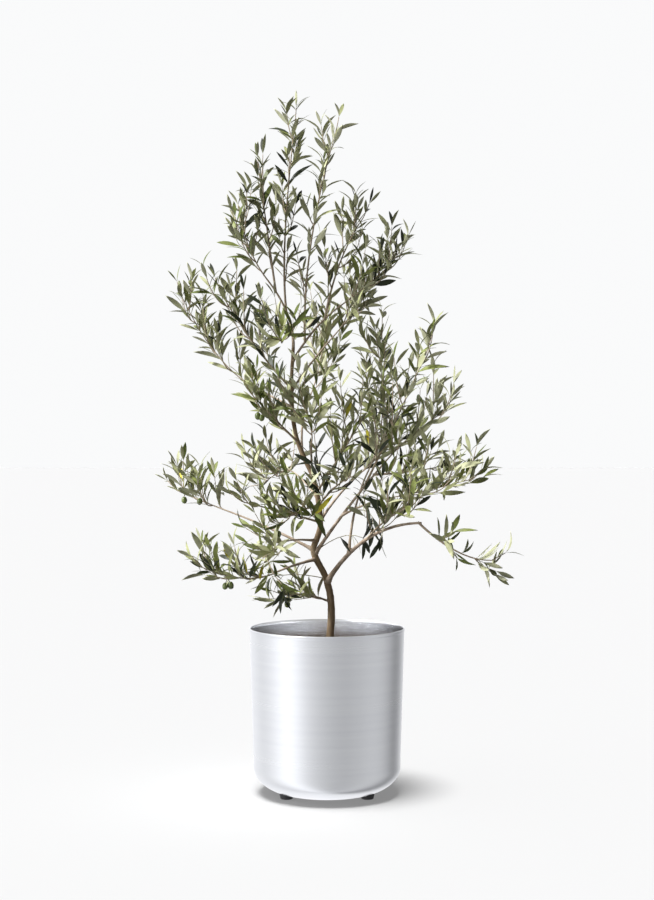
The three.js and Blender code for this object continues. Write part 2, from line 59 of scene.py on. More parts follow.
# Boughs: name, parent limb, share of the parent's length, bend, tip, radii.
BOUGHS = [
    ("low_right", "trunk", 0.235, (78, -62, 592), (197, -150, 597), (5.6, 3.4)),
    ("riser", "low_right", 0.3, (54, -24, 630), (91, 0, 705), (3.3, 2.4)),
    ("right", "trunk", 0.33, (34, -26, 616), (125, -60, 724), (4.2, 2.8)),
    ("right_low", "right", 0.42, (92, -80, 640), (124, -96, 646), (2.6, 2.2)),
    ("mid_left", "trunk", 0.345, (-130, 30, 582), (-216, 54, 612), (3.8, 2.4)),
    ("low_left", "trunk", 0.315, (-80, -48, 500), (-112, -70, 486), (3.6, 2.6)),
    ("inner_left", "trunk", 0.375, (-50, -36, 556), (-72, -58, 556), (3.2, 2.5)),
    ("back_right", "trunk", 0.44, (22, 70, 650), (70, 150, 690), (3.4, 2.4)),
    ("back_left", "trunk", 0.5, (-40, 80, 676), (-78, 142, 700), (3.2, 2.3)),
    ("front", "trunk", 0.58, (-36, -60, 746), (-32, -108, 772), (3, 2.3)),
    ("back", "trunk", 0.66, (-62, 84, 815), (-40, 132, 868), (2.9, 2.2)),
    ("upper_left", "trunk", 0.81, (-110, 36, 862), (-156, 64, 886), (3.1, 2.2)),
    ("mid_right", "trunk", 0.86, (-50, 44, 930), (20, 66, 1010), (2.8, 2.2)),
    ("top_left", "trunk", 1, None, (-130, -28, 1120), (3.6, 2.4)),
    ("top_right", "trunk", 0.955, (-30, 18, 1026), (34, 34, 1072), (3, 2.3)),
]
BOUGH_SEGMENTS = 6

# Masses: name, parent limb, share of its length, bend, stem's tip, reach, shoots, lift.
MASSES = [
    ("droop", "low_right", 0.98, (276, -170, 517), (341, -190, 522), 20, 2, 0.3),
    ("right_low", "right_low", 1, None, (298, -160, 688), 76, 8, 1.0),
    ("centre_low", "low_right", 0.5, (124, -130, 612), (176, -186, 634), 96, 9, 1.6),
    ("right_edge", "right", 0.72, (142, -88, 800), (214, -92, 962), 80, 6, 2.6),
    ("right_mid", "right", 0.86, (170, -84, 700), (240, -90, 714), 76, 7, 2.0),
    ("right_high", "riser", 1, None, (110, -10, 976), 118, 7, 2.4),
    ("right", "right", 1, None, (250, -20, 830), 130, 5, 3.0),
    ("mid_left", "mid_left", 1, None, (-338, 98, 658), 60, 6, 3.0),
    ("low_left", "low_left", 1, None, (-262, -130, 502), 44, 6, 0.8),
    ("lowest", "trunk", 0.17, (-50, -26, 444), (-90, -50, 436), 30, 4, 0.3),
    ("inner_left", "inner_left", 1, None, (-136, -120, 520), 62, 7, 0.4),
    ("low_front", "trunk", 0.49, (-56, -70, 622), (-88, -118, 606), 66, 7, 0.8),
    ("centre_left", "trunk", 0.435, (-90, -60, 616), (-180, -110, 640), 90, 8, 1.8),
    ("centre", "trunk", 0.53, (30, -60, 740), (84, -104, 828), 110, 8, 2.0),
    ("centre_front", "trunk", 0.49, (20, -44, 680), (56, -84, 694), 64, 4, 1.2),
    ("front", "front", 1, None, (-50, -160, 850), 96, 7, 1.5),
    ("back_right", "back_right", 1, None, (140, 206, 770), 100, 7, 1.6),
    ("back_left", "back_left", 1, None, (-150, 200, 670), 90, 6, 1.6),
    ("back", "back", 1, None, (-4, 176, 1024), 100, 7, 1.6),
    ("left_mid", "trunk", 0.7, (-110, -40, 812), (-166, -60, 874), 76, 6, 1.8),
    ("left_high", "trunk", 0.87, (-160, -20, 968), (-232, -26, 1094), 100, 7, 2.4),
    ("upper_left", "upper_left", 1, None, (-330, 110, 1100), 60, 8, 3.0),
    ("mid_right", "mid_right", 1, None, (80, 124, 1090), 84, 7, 2.4),
    ("top_left", "top_left", 1, None, (-188, -34, 1250), 90, 6, 2.4),
    ("high_left", "top_left", 0.8, (-132, -14, 1240), (-148, -20, 1354), 56, 6, 2.4),
    ("upper_front", "top_left", 0.3, (-92, -60, 990), (-96, -110, 976), 96, 6, 1.6),
    ("top", "top_left", 0.5, (-104, 10, 1190), (-70, 10, 1470), 46, 7, 2.6),
    ("upper_right", "top_right", 0.7, (20, 60, 1180), (82, 64, 1270), 76, 6, 2.4),
    ("top_right", "top_right", 1, None, (146, 36, 1166), 98, 8, 2.2),
    ("spire", "top_right", 0.3, (-56, 4, 1190), (20, 10, 1450), 48, 7, 2.4),
]

ELBOW_SHARE = 0.45
STEM = dict(radius=3.2, tip_radius=2.2, segments=5, shoots=(0.12, 0.97), shoot_scatter=0.6,
            leafless=0.4)
SHOOT = dict(radius=1.5, tip_radius=1.2, segments=2, spread=(36, 62), turn_scatter=0.4,
             shortest=30, elbow=0.35, lengths=(0.75, 1.2), root_gain=1.12, taper=0.45)
SPRAY = dict(length=80, width=21, sizes=(0.8, 1.15), spacing=58, bare_length=24, angle=(28, 46),
             first=0.3, turn_scatter=1.2)
LOWEST_LEAF = 374
ROD_MARGIN = 0.5
MOST_RODS = 6000
FIRST_MASS_OWNER = 100
OLIVE = dict(width=13, height=16, stalk=9, stalk_radii=(0.7, 0.9), droop=0.8)
OLIVES = [
    ("left_mid", (-196, -60, 826)), ("left_mid", (-152, -70, 800)),
    ("upper_front", (-86, -80, 1032)), ("mid_left", (-330, 90, 616)),
    ("mid_left", (-290, 60, 640)), ("low_left", (-190, -104, 456)),
    ("low_left", (-224, -120, 452)), ("lowest", (-104, -56, 388)),
    ("inner_left", (-104, -90, 606)), ("right", (176, -70, 750)),
]

# ---- Finer growth, which only this script has ----

FIRST_UPPER_MASS = 17  # the crown's lower half ends before this row of MASSES
LEAF = dict(lengths=(43, 60), usual=50, tip=48, width_share=(0.17, 0.24), angles=(22, 50),
            tip_angles=(8, 24), gap=(33, 46), pair_sizes=(0.85, 1.1), young=0.8,
            roll=0.7, arch=(-0.1, 0.75), twist=(-0.14, 0.14), fold=0.16)
FINE_STEM = dict(tip_share=0.96, side_share=0.9, tip_radius=0.9, rooted=3, rings=34, tip_rise=0.5)
FINE_SHOOT = dict(radius=1.6, tip_radius=0.7, rings=19, tip_rise=0.3, bare=(8, 14))
TWIGLET = dict(spacing=130, lengths=(20, 44), angle=(30, 50), radius=0.95, tip_radius=0.6,
               rings=7, rise=0.3, bare=(6, 11), leaf_reach=30, leaf_radius=7)
SLIM_TIP = 0.72  # of a bough's radius that its bark has at the tip
COLLAR = dict(swell=0.55, length=7)
# The third upper colour, near black, is painted shade: sprays dealt it stand in for leaves lying in
# shadow.
UPPER_COLOURS_WITH_PAINTED_SHADE = [(96, 107, 50), (164, 168, 120), (32, 40, 16), (190, 192, 152), (127, 136, 74)]
LOWER_COLOURS = [(200, 202, 166), (214, 215, 182), (182, 185, 144)]
YELLOW = [(190, 178, 40), (214, 204, 60), (226, 220, 96)]
UPPER_TONES, LOWER_TONES = len(UPPER_COLOURS_WITH_PAINTED_SHADE), len(LOWER_COLOURS)
YELLOWED = 0.003  # share of the leaves that has turned yellow

# Thin twigs on the bare limbs: parent limb, share of its length, bend, tip, leaf pairs below
# the tip's own, and how far their leaves rise, or hang where it is below 0.
SIDE_TWIGS = [
    ("trunk", 0.245, (-60, -8, 484), (-120, -22, 474), 1, -0.4),
    ("trunk", 0.405, (-2, -30, 620), (-8, -36, 664), 1, 0.4),
    ("trunk", 0.335, (34, -24, 580), (78, -46, 560), 2, -1.2),
    ("right", 0.45, (104, -60, 634), (98, -78, 590), 2, -1.4),
    ("low_right", 0.62, (128, -120, 606), (112, -136, 560), 1, -1.2),
    ("low_left", 0.4, (-78, -60, 470), (-92, -72, 444), 1, -1.0),
]
# Tone 2 is the near-black upper colour: painted shade for these leaves hanging in the crown's
# shadow.
SIDE_TWIG = dict(radius=1.2, tip_radius=0.7, rings=7, pair_gap=0.22, sizes=(0.75, 1.0), tone=2)

UP = np.array([0.0, 0.0, 1.0])
GOLDEN_ANGLE = math.radians(137.508)
MASK = 0xFFFFFFFF
FINE_SEED, SIDE_TWIG_SEED, OLIVE_SEED, CRUMB_SEED = 5000, 7002, 900, 71


def seeded(seed):
    """A repeatable stream of numbers, each picked between two limits."""
    state = seed & MASK

    def pick(low, high):
        nonlocal state
        state = (state + 0x6D2B79F5) & MASK
        t = ((state ^ (state >> 15)) * (state | 1)) & MASK
        t ^= (t + (((t ^ (t >> 7)) * (t | 61)) & MASK)) & MASK
        return low + (high - low) * (t ^ (t >> 14)) / 2 ** 32

    return pick


def vec(values):
    return np.array(values, float)


def unit(v):
    return v / np.linalg.norm(v, axis=-1, keepdims=True)


def mix(a, b, share):
    return a + (b - a) * share


def turned(v, axis, angle):
    """v turned about a unit axis."""
    c, s = math.cos(angle), math.sin(angle)
    return v * c + np.cross(axis, v) * s + axis * (np.dot(axis, v) * (1 - c))


def sideways(direction, angle):
    """A unit vector square to direction, turned about it by angle."""
    helper = UP if abs(direction[2]) < 0.9 else vec((1, 0, 0))
    return turned(unit(np.cross(direction, helper)), direction, angle)


def leaning(ahead, out, angle):
    return ahead * math.cos(angle) + out * math.sin(angle)


class Path:
    """A curve as close-set points, read by shares of its whole length."""

    NUDGE = 0.004  # share of the length to each side that gives the tangent

    def __init__(self, points):
        self.points = np.asarray(points, float)
        steps = np.linalg.norm(np.diff(self.points, axis=0), axis=1)
        self.marks = np.concatenate([[0], np.cumsum(steps)])
        self.length = self.marks[-1]

    def at(self, share):
        distance = np.clip(share, 0, 1) * self.length
        return np.stack([np.interp(distance, self.marks, p) for p in self.points.T], -1)

    def tangent(self, share):
        return unit(self.at(share + self.NUDGE) - self.at(share - self.NUDGE))

    def on_chords(self, segments, share):
        ring = min(int(share * segments), segments - 1)
        start, end = self.at(ring / segments), self.at((ring + 1) / segments)
        return mix(start, end, share * segments - ring)


def bezier(a, b, c, steps=48):
    t = np.linspace(0, 1, steps + 1)[:, None]
    return Path((1 - t) ** 2 * a + 2 * t * (1 - t) * b + t ** 2 * c)


def catmull_rom(line, steps=40):
    """The centripetal curve through the line's points."""
    p = vec(line)
    p = np.vstack([2 * p[0] - p[1], p, 2 * p[-1] - p[-2]])
    t = np.linspace(0, 1, steps, endpoint=False)[:, None]
    out = []
    for i in range(1, len(p) - 2):
        p0, p1, p2, p3 = p[i - 1:i + 3]
        d0, d1, d2 = (np.linalg.norm(b - a) ** 0.5 for a, b in ((p0, p1), (p1, p2), (p2, p3)))
        m1 = ((p1 - p0) / d0 - (p2 - p0) / (d0 + d1) + (p2 - p1) / d1) * d1
        m2 = ((p2 - p1) / d1 - (p3 - p1) / (d1 + d2) + (p3 - p2) / d2) * d1
        out.append(p1 + m1 * t + (3 * (p2 - p1) - 2 * m1 - m2) * t ** 2
                   + (2 * (p1 - p2) + m1 + m2) * t ** 3)
    return Path(np.vstack(out + [p[-2:-1]]))


# ---- Room between the pieces of the crown ----


class Room:
    """Short rounded rods along all that has grown. A new one keeps clear of other owners'."""

    def __init__(self):
        self.rods = np.zeros((MOST_RODS, 8))  # start, end, radius and owner
        self.count = 0

    def add(self, rods, owner):
        for start, end, radius in rods:
            self.rods[self.count] = (*start, *end, radius, owner)
            self.count += 1

    def free(self, rod, owner):
        start, end, radius = rod
        if min(start[2], end[2]) - radius < LOWEST_LEAF:
            return False
        others = self.rods[:self.count]
        u, v, w = end - start, others[:, 3:6] - others[:, :3], start - others[:, :3]
        a, b, c, d, e = u @ u, v @ u, (v * v).sum(1), w @ u, (v * w).sum(1)
        spread = a * c - b * b
        s = np.where(spread > 1e-6, (b * e - c * d) / np.maximum(spread, 1e-6), 0).clip(0, 1)
        t = ((b * s + e) / c).clip(0, 1)
        s = ((b * t - d) / a).clip(0, 1)
        away = np.linalg.norm(w + s[:, None] * u - t[:, None] * v, axis=1)
        clear = away > radius + others[:, 6] + GAP
        return bool(np.all(clear | (others[:, 7] == owner)))

    def take(self, rods, owner):
        """Adds the rods if all of them are free, and says so."""
        free = all(self.free(rod, owner) for rod in rods)
        if free:
            self.add(rods, owner)
        return free


def rods_along(path, radius_at, segments):
    ends = path.at(np.arange(segments + 1) / segments)
    return [(ends[i], ends[i + 1], radius_at((i + 0.5) / segments) + ROD_MARGIN)
            for i in range(segments)]


def take_spray(owner, root, direction, size=1):
    """Takes the room of one of the solids' leaves, if it is free."""
    radius = SPRAY["width"] * size / 2
    reach = SPRAY["length"] * size - radius / 3
    return room.take([(root + direction * radius, root + direction * reach, radius)], owner)


# ---- Limbs ----

room = Room()
limbs = {}


def trunk_radius(share):
    flare = TRUNK["flare"] * np.exp(-share * limbs["trunk"]["path"].length / TRUNK["flare_height"])
    return mix(TRUNK["root_radius"], TRUNK["tip_radius"], share ** TRUNK["thinning"]) + flare


def limb_path(parent, at, bend, tip):
    path = limbs[parent]["path"]
    start, end, ahead = path.at(at), vec(tip), path.tangent(at)
    if at == 1:
        start = start + ahead * GAP
    elbow = start + ahead * np.linalg.norm(end - start) * ELBOW_SHARE if bend is None else vec(bend)
    return bezier(start, elbow, end)


def grow_limbs():
    limbs["trunk"] = dict(path=catmull_rom(TRUNK_LINE), radius=trunk_radius)
    room.add(rods_along(limbs["trunk"]["path"], trunk_radius, TRUNK["segments"] * 2), 0)
    for number, (name, parent, at, bend, tip, radii) in enumerate(BOUGHS):
        path = limb_path(parent, at, bend, tip)

        def radius(share, radii=radii):
            return mix(*radii, share)

        limbs[name] = dict(path=path, radius=radius)
        room.add(rods_along(path, radius, BOUGH_SEGMENTS * 2), number + 1)


# ---- Foliage: the solids' rule, then finer twigs and real leaves within its reach ----
# A crown holds what half of the masses have grown, as lists by kind.


def tapering(kind):
    return lambda share: mix(kind["radius"], kind["tip_radius"], share)


def shoot_path(stem, number, reach, count, lift, pick):
    share = mix(*STEM["shoots"], (number + pick(0, STEM["shoot_scatter"])) / count)
    start = stem.on_chords(STEM["segments"], share)
    ahead = stem.tangent(share)
    turn = number * GOLDEN_ANGLE + pick(-SHOOT["turn_scatter"], SHOOT["turn_scatter"])
    first = leaning(ahead, sideways(ahead, turn), math.radians(pick(*SHOOT["spread"])))
    last = unit(first + UP * lift)
    length = reach * (SHOOT["root_gain"] - SHOOT["taper"] * share) * pick(*SHOOT["lengths"])
    length = max(SHOOT["shortest"], length)
    elbow = start + first * length * SHOOT["elbow"]
    return bezier(start, elbow, elbow + last * length * (1 - SHOOT["elbow"]))


def side_sprays(owner, twig, segments, bare_length, pick):
    """Where each side leaf of the solids grows: root, direction and size."""
    out = []
    count = max(1, math.floor((twig.length - bare_length) / SPRAY["spacing"] + 0.5))
    for i in range(count):
        share = mix(bare_length / twig.length, 1, (i + SPRAY["first"]) / count)
        root = twig.on_chords(segments, share)
        ahead = twig.tangent(share)
        side = sideways(ahead, i * GOLDEN_ANGLE + pick(0, SPRAY["turn_scatter"]))
        direction = leaning(ahead, side, math.radians(pick(*SPRAY["angle"])))
        pick(0, math.pi)  # the solids' leaf takes its roll from this draw
        size = pick(*SPRAY["sizes"])
        if take_spray(owner, root, direction, size):
            out.append((root, direction, size))
    return out


def leaf(crown, root, direction, ahead, size, tone, fine):
    """One leaf. Its upper side faces the way its twig grows."""
    facing = unit(ahead - direction * np.dot(ahead, direction) + UP * 0.05)
    upper = turned(facing, direction, fine(-LEAF["roll"], LEAF["roll"]))
    upper = unit(upper - direction * np.dot(upper, direction))
    length = fine(*LEAF["lengths"]) * size
    width = length * fine(*LEAF["width_share"])
    if fine(0, 1) < YELLOWED:
        tone = UPPER_TONES + LOWER_TONES
    crown["leaves"].append(np.concatenate([
        root, direction, upper, [length, width, fine(*LEAF["arch"]), fine(*LEAF["twist"]), tone]]))


def leaf_pair(crown, root, ahead, turn, size, tone, fine):
    rise = UP * mix(0.8, 0.12, abs(ahead[2]))
    for side in (0, math.pi):
        out = sideways(ahead, turn + side + fine(-0.3, 0.3))
        direction = leaning(ahead, out, math.radians(fine(*LEAF["angles"])))
        pair_size = size * fine(*LEAF["pair_sizes"])
        leaf(crown, root, unit(direction + rise), ahead, pair_size, tone, fine)


def dress(crown, path, bare, tone, fine):
    """Opposite pairs of leaves along a twig, square to the pair before, and a pair at its tip."""
    turn = fine(0, math.pi)
    distance = bare
    while distance < path.length - 6:
        share = distance / path.length
        ahead = path.tangent(share)
        size = mix(1, LEAF["young"], share ** 2)
        leaf_pair(crown, path.at(share), ahead, turn, size, tone, fine)
        turn += math.pi / 2 + fine(-0.2, 0.2)
        distance += fine(*LEAF["gap"])
    ahead, tip = path.tangent(1), path.at(1)
    for side in (0, math.pi):
        out = sideways(ahead, turn + side)
        direction = leaning(ahead, out, math.radians(fine(*LEAF["tip_angles"])))
        leaf(crown, tip, direction, ahead, LEAF["young"] * LEAF["tip"] / LEAF["usual"], tone, fine)


def twig_row(path, kind):
    """A twig's points and its radii at both ends, for twig_mesh."""
    return path.at(np.linspace(0, 1, kind["rings"])), kind["radius"], kind["tip_radius"]


def carried_on(points, ahead):
    """A twig's points, with those of its finer tip, where the solids have a spray."""
    steps = np.linspace(0, SPRAY["length"] - LEAF["tip"], 6)[1:]
    return points + [points[-1] + ahead * step for step in steps]


def twiglet(crown, root, direction, length, lift, tone, fine):
    end = root + unit(direction + UP * lift * TWIGLET["rise"]) * length
    path = bezier(root, root + direction * length * 0.5, end, 10)
    crown["twiglets"].append(twig_row(path, TWIGLET))
    dress(crown, path, fine(*TWIGLET["bare"]), tone, fine)


def finer_shoot(crown, owner, twig, ends_in_spray, lift, tone, fine):
    """A shoot with its finer tip, the leaves along it and short twiglets between them."""
    points = list(twig.at(np.linspace(0, 1, 13)))
    if ends_in_spray:
        points = carried_on(points, unit(twig.tangent(1) + UP * FINE_SHOOT["tip_rise"]))
    path = Path(points)
    crown["shoots"].append(twig_row(path, FINE_SHOOT))
    dress(crown, path, fine(*FINE_SHOOT["bare"]), tone, fine)
    count = int(path.length / TWIGLET["spacing"])
    for i in range(count):
        share = (i + fine(0.3, 0.9)) / (count + 0.4)
        ahead = path.tangent(share)
        out = sideways(ahead, i * GOLDEN_ANGLE + fine(0, 1.5))
        direction = leaning(ahead, out, math.radians(fine(*TWIGLET["angle"])))
        length = fine(*TWIGLET["lengths"]) * mix(1.1, 0.6, share)
        root = path.at(share)
        end = root + direction * (length + TWIGLET["leaf_reach"])
        if room.free((root + direction * 6, end, TWIGLET["leaf_radius"]), owner):
            twiglet(crown, root, direction, length, lift, tone, fine)


def grow_side_twigs(crown):
    """Thin twigs with a few hanging leaves near their tips."""
    fine = seeded(SIDE_TWIG_SEED)
    for parent, at, bend, tip, pairs, rise in SIDE_TWIGS:
        path = bezier(limbs[parent]["path"].at(at), vec(bend), vec(tip), 16)
        crown["twiglets"].append(twig_row(path, SIDE_TWIG))
        for pair in range(pairs + 1):
            share = 1 - pair * SIDE_TWIG["pair_gap"]
            ahead = path.tangent(share)
            for side in (0, math.pi):
                out = sideways(ahead, pair * math.pi / 2 + side + fine(-0.5, 0.5))
                direction = unit(leaning(ahead, out, fine(0.4, 0.9)) + UP * rise)
                leaf(crown, path.at(share), direction, ahead, fine(*SIDE_TWIG["sizes"]),
                     SIDE_TWIG["tone"], fine)


def reserve_stems():
    """Keeps room for every mass's stem before any mass grows."""
    for number, (_, parent, at, bend, tip, *_) in enumerate(MASSES):
        stem = limb_path(parent, at, bend, tip)
        rods = rods_along(stem, tapering(STEM), STEM["segments"] * 2)
        room.add(rods, FIRST_MASS_OWNER + number)


def grow_mass(crown, number):
    """One mass by the solids' rule, with the same stream, then its finer growth."""
    name, parent, at, bend, tip, reach, count, lift = MASSES[number]
    owner = FIRST_MASS_OWNER + number
    stem = limb_path(parent, at, bend, tip)
    pick, fine = seeded(number + 1), seeded(FINE_SEED + number)

    shoots = []
    for i in range(count):
        twig = shoot_path(stem, i, reach, count, lift, pick)
        if room.take(rods_along(twig, tapering(SHOOT), SHOOT["segments"]), owner):
            shoots.append((twig, take_spray(owner, twig.at(1), twig.tangent(1))))
    stem_ends_in_spray = take_spray(owner, stem.at(1), stem.tangent(1))

    sprays = side_sprays(owner, stem, STEM["segments"], stem.length * STEM["leafless"], pick)
    for twig, _ in shoots:
        sprays += side_sprays(owner, twig, SHOOT["segments"], SPRAY["bare_length"], pick)

    radius = STEM["radius"] * FINE_STEM["side_share"]
    if at == 1:
        radius = limbs[parent]["radius"](at) * FINE_STEM["tip_share"] * SLIM_TIP
    points = list(stem.at(np.linspace(0, 1, 25)))
    points[0] = points[0] - stem.tangent(0) * FINE_STEM["rooted"]
    if stem_ends_in_spray:
        points = carried_on(points, unit(stem.tangent(1) + UP * FINE_STEM["tip_rise"]))
    whole = Path(points)
    crown["stems"].append(twig_row(whole, dict(FINE_STEM, radius=radius)))
    tone = int(fine(0, UPPER_TONES))
    dress(crown, whole, stem.length * STEM["leafless"], tone, fine)
    for twig, ends_in_spray in shoots:
        finer_shoot(crown, owner, twig, ends_in_spray, lift, int(fine(0, UPPER_TONES)), fine)
    for root, direction, size in sprays:
        length = SPRAY["length"] * size - LEAF["tip"]
        twiglet(crown, root, direction, length, lift, int(fine(0, UPPER_TONES)), fine)
    for wished in [vec(place) for where, place in OLIVES if where == name]:
        roots = [twig.on_chords(SHOOT["segments"], 0.4) for twig, _ in shoots]
        root = min(roots, key=lambda candidate: np.linalg.norm(candidate - wished))
        hang = unit(unit(wished - root) - UP * OLIVE["droop"])
        crown["fruit"].append((root, root + hang * (OLIVE["stalk"] + OLIVE["height"] / 2)))


# ---- Meshes from arrays ----


def add_object(name, data):
    made = bpy.data.objects.new(name, data)
    bpy.context.collection.objects.link(made)
    return made


def make_piece(name, vertices, quads, triangles, materials, slots=None):
    """An object from arrays of corners in millimetres, four-sided and three-sided faces."""
    mesh = bpy.data.meshes.new(name)
    mesh.vertices.add(len(vertices))
    mesh.vertices.foreach_set("co", (vertices / 1000).ravel())
    mesh.loops.add(quads.size + triangles.size)
    mesh.loops.foreach_set("vertex_index", np.concatenate([quads.ravel(), triangles.ravel()]))
    mesh.polygons.add(len(quads) + len(triangles))
    starts = [np.arange(len(quads)) * 4, quads.size + np.arange(len(triangles)) * 3]
    mesh.polygons.foreach_set("loop_start", np.concatenate(starts))
    if slots is not None:
        mesh.polygons.foreach_set("material_index", slots.astype(int))
    mesh.update(calc_edges=True)
    mesh.polygons.foreach_set("use_smooth", np.full(len(mesh.polygons), True))
    for material in materials:
        mesh.materials.append(material)
    return add_object(name, mesh)


def tube_rings(paths, radii, sides):
    """Rings of corners round many paths at once: paths (m, n, 3), radii (m, n)."""
    ahead = unit(np.gradient(paths, axis=1))
    helper = np.where(np.abs(ahead[:, :1, 2:]) < 0.9, UP, vec((1, 0, 0)))[:, 0]
    normal = unit(np.cross(ahead[:, 0], helper))
    turns = (np.arange(sides) * 2 * math.pi / sides)[:, None]
    rings = []
    for i in range(paths.shape[1]):
        normal = unit(normal - ahead[:, i] * (normal * ahead[:, i]).sum(-1, keepdims=True))
        binormal = np.cross(ahead[:, i], normal)
        out = normal[:, None] * np.cos(turns) + binormal[:, None] * np.sin(turns)
        rings.append(paths[:, i, None] + out * radii[:, i, None, None])
    return np.stack(rings, 1)


def tube_faces(m, n, sides):
    """Faces of m closed tubes of n rings. Each tube's corners end with its two end centres."""
    size = n * sides + 2
    ring, k = np.meshgrid(np.arange(n - 1), np.arange(sides), indexing="ij")
    after = (k + 1) % sides
    quads = np.stack([ring * sides + k, ring * sides + after,
                      (ring + 1) * sides + after, (ring + 1) * sides + k], -1).reshape(-1, 4)
    k, after = np.arange(sides), (np.arange(sides) + 1) % sides
    last = (n - 1) * sides
    caps = np.vstack([np.stack([np.full(sides, size - 2), after, k], -1),
                      np.stack([np.full(sides, size - 1), last + k, last + after], -1)])
    shift = np.arange(m)[:, None, None] * size
    return (quads + shift).reshape(-1, 4), (caps + shift).reshape(-1, 3)


def tubes(rings):
    """Corners and faces of closed tubes from their rings (m, n, sides, 3)."""
    m, n, sides, _ = rings.shape
    ends = np.stack([rings[:, 0].mean(1), rings[:, -1].mean(1)], 1)
    corners = np.concatenate([rings.reshape(m, n * sides, 3), ends], 1).reshape(-1, 3)
    return (corners, *tube_faces(m, n, sides))


def joined(parts):
    """Several (corners, quads, triangles) as one."""
    corners, quads, triangles = zip(*parts)
    shifts = np.cumsum([0, *map(len, corners)])
    quads, triangles = (np.vstack([faces + shift for faces, shift in zip(kind, shifts)])
                        for kind in (quads, triangles))
    return np.vstack(corners), quads, triangles


def lathe(profile, sides):
    """A closed turned form. The profile's first and last points are on the axis."""
    profile = vec(profile)
    turns = np.arange(sides) * 2 * math.pi / sides
    inner = profile[1:-1]
    rings = np.stack([inner[:, :1] * np.cos(turns), inner[:, :1] * np.sin(turns),
                      np.repeat(inner[:, 1:], sides, 1)], -1)
    corners, quads, triangles = tubes(rings[None])
    corners[-2:] = [(0, 0, profile[0, 1]), (0, 0, profile[-1, 1])]
    return corners, quads, triangles


def lattice_noise(points, seed):
    """Smooth noise from -1 to 1 at each point."""
    cell = np.floor(points).astype(np.int64)
    part = points - cell
    part = part * part * (3 - 2 * part)
    total = np.zeros(points.shape[:-1])
    for corner in range(8):
        offset = np.array([corner & 1, corner >> 1 & 1, corner >> 2])
        x, y, z = np.moveaxis(cell + offset, -1, 0)
        value = (x * 73856093 ^ y * 19349663 ^ z * 83492791 ^ (seed + 1) * 2654435761) & MASK
        value = ((value ^ (value >> 15)) * 2246822519) & MASK
        value = ((value ^ (value >> 13)) * 3266489917) & MASK
        weight = np.prod(np.where(offset, part, 1 - part), -1)
        total += weight * ((value ^ (value >> 16)) / 2 ** 31 - 1)
    return total


def layered_noise(points, layers, seed):
    return sum(lattice_noise(points * 2 ** i, seed + i) / 2 ** i for i in range(layers))


# ---- Materials ----

MIDDLE_OF_NOISE = (0.28, 0.72)  # where nearly all of a noise's values lie
BLEND_ROUGHNESS = 0.62


def new_material(name):
    material = bpy.data.materials.new(name)
    material.use_nodes = True
    tree = material.node_tree
    return material, tree, tree.nodes["Principled BSDF"]


def put(socket, value):
    """Links an output to an input socket, or sets the socket's own value."""
    if isinstance(value, bpy.types.NodeSocket):
        socket.id_data.links.new(value, socket)
    else:
        socket.default_value = value


def fill(node, values):
    """Fills inputs by their names, in which _ stands for a space."""
    for name, value in values.items():
        put(node.inputs[name.replace("_", " ")], value)


def add_node(tree, kind, output, *first, **named):
    """An output of a new node, whose inputs are given in order or by name."""
    node = tree.nodes.new("ShaderNode" + kind)
    for socket, value in zip(node.inputs, first):
        put(socket, value)
    fill(node, named)
    return node.outputs[output]


def add_math(tree, operation, *values):
    result = add_node(tree, "Math", "Value", *values)
    result.node.operation = operation
    return result


def add_noise(tree, place, scale, detail, **values):
    """Noise with scale cycles for each metre, or with a number of them for each axis."""
    scale = (scale,) * 3 if np.isscalar(scale) else scale
    mapped = add_node(tree, "Mapping", "Vector", Vector=place, Scale=scale)
    return add_node(tree, "TexNoise", "Fac", Vector=mapped, Scale=1, Detail=detail, **values)


def add_ramp(tree, factor, stops):
    """A colour ramp through stops of position and colour. A new ramp has two already."""
    colour = add_node(tree, "ValToRGB", "Color", factor)
    elements = colour.node.color_ramp.elements
    for i, (position, value) in enumerate(stops):
        stop = elements[i] if i < 2 else elements.new(position)
        stop.position, stop.color = position, (*value, 1)
    return colour


def finish(name, colours, scale, roughness, grain, bump, depth, detail=6, **sockets):
    """A material whose noise blends its colours and varies its roughness between two limits.

    Finer noise, grain cycles for each metre, raises a relief of that depth in metres."""
    material, tree, shader = new_material(name)
    place = add_node(tree, "TexCoord", "Object")
    noise = add_noise(tree, place, scale, detail, Roughness=BLEND_ROUGHNESS)
    colour = add_ramp(tree, noise, [
        (mix(*MIDDLE_OF_NOISE, i / (len(colours) - 1)), map(linear, values))
        for i, values in enumerate(colours)])
    gloss = add_node(tree, "MapRange", "Result", noise, To_Min=roughness[0], To_Max=roughness[1])
    relief = add_noise(tree, place, grain, detail)
    normal = add_node(tree, "Bump", "Normal", Strength=bump, Distance=depth, Height=relief)
    fill(shader, dict(Base_Color=colour, Roughness=gloss, Normal=normal, **sockets))
    return material


def linear(value):
    """A colour value from 0 to 255 as light."""
    value /= 255
    return value / 12.92 if value <= 0.04045 else ((value + 0.055) / 1.055) ** 2.4


def shade(colour, factor):
    return tuple(min(255, c * factor) for c in colour)


def aluminium(name, shades, roughness, stretch):
    """Spun aluminium: fine lines round the pot stretch its reflections up and down."""
    material = finish(name, shades, (0.4, 0.4, 40), roughness, (0.5, 0.5, 700), bump=0.0015,
                      depth=0.00005, detail=3, Metallic=1, Anisotropic=stretch)
    tangent = add_node(material.node_tree, "Tangent", "Tangent")
    tangent.node.direction_type, tangent.node.axis = "RADIAL", "Z"
    put(material.node_tree.nodes["Principled BSDF"].inputs["Tangent"], tangent)
    return material


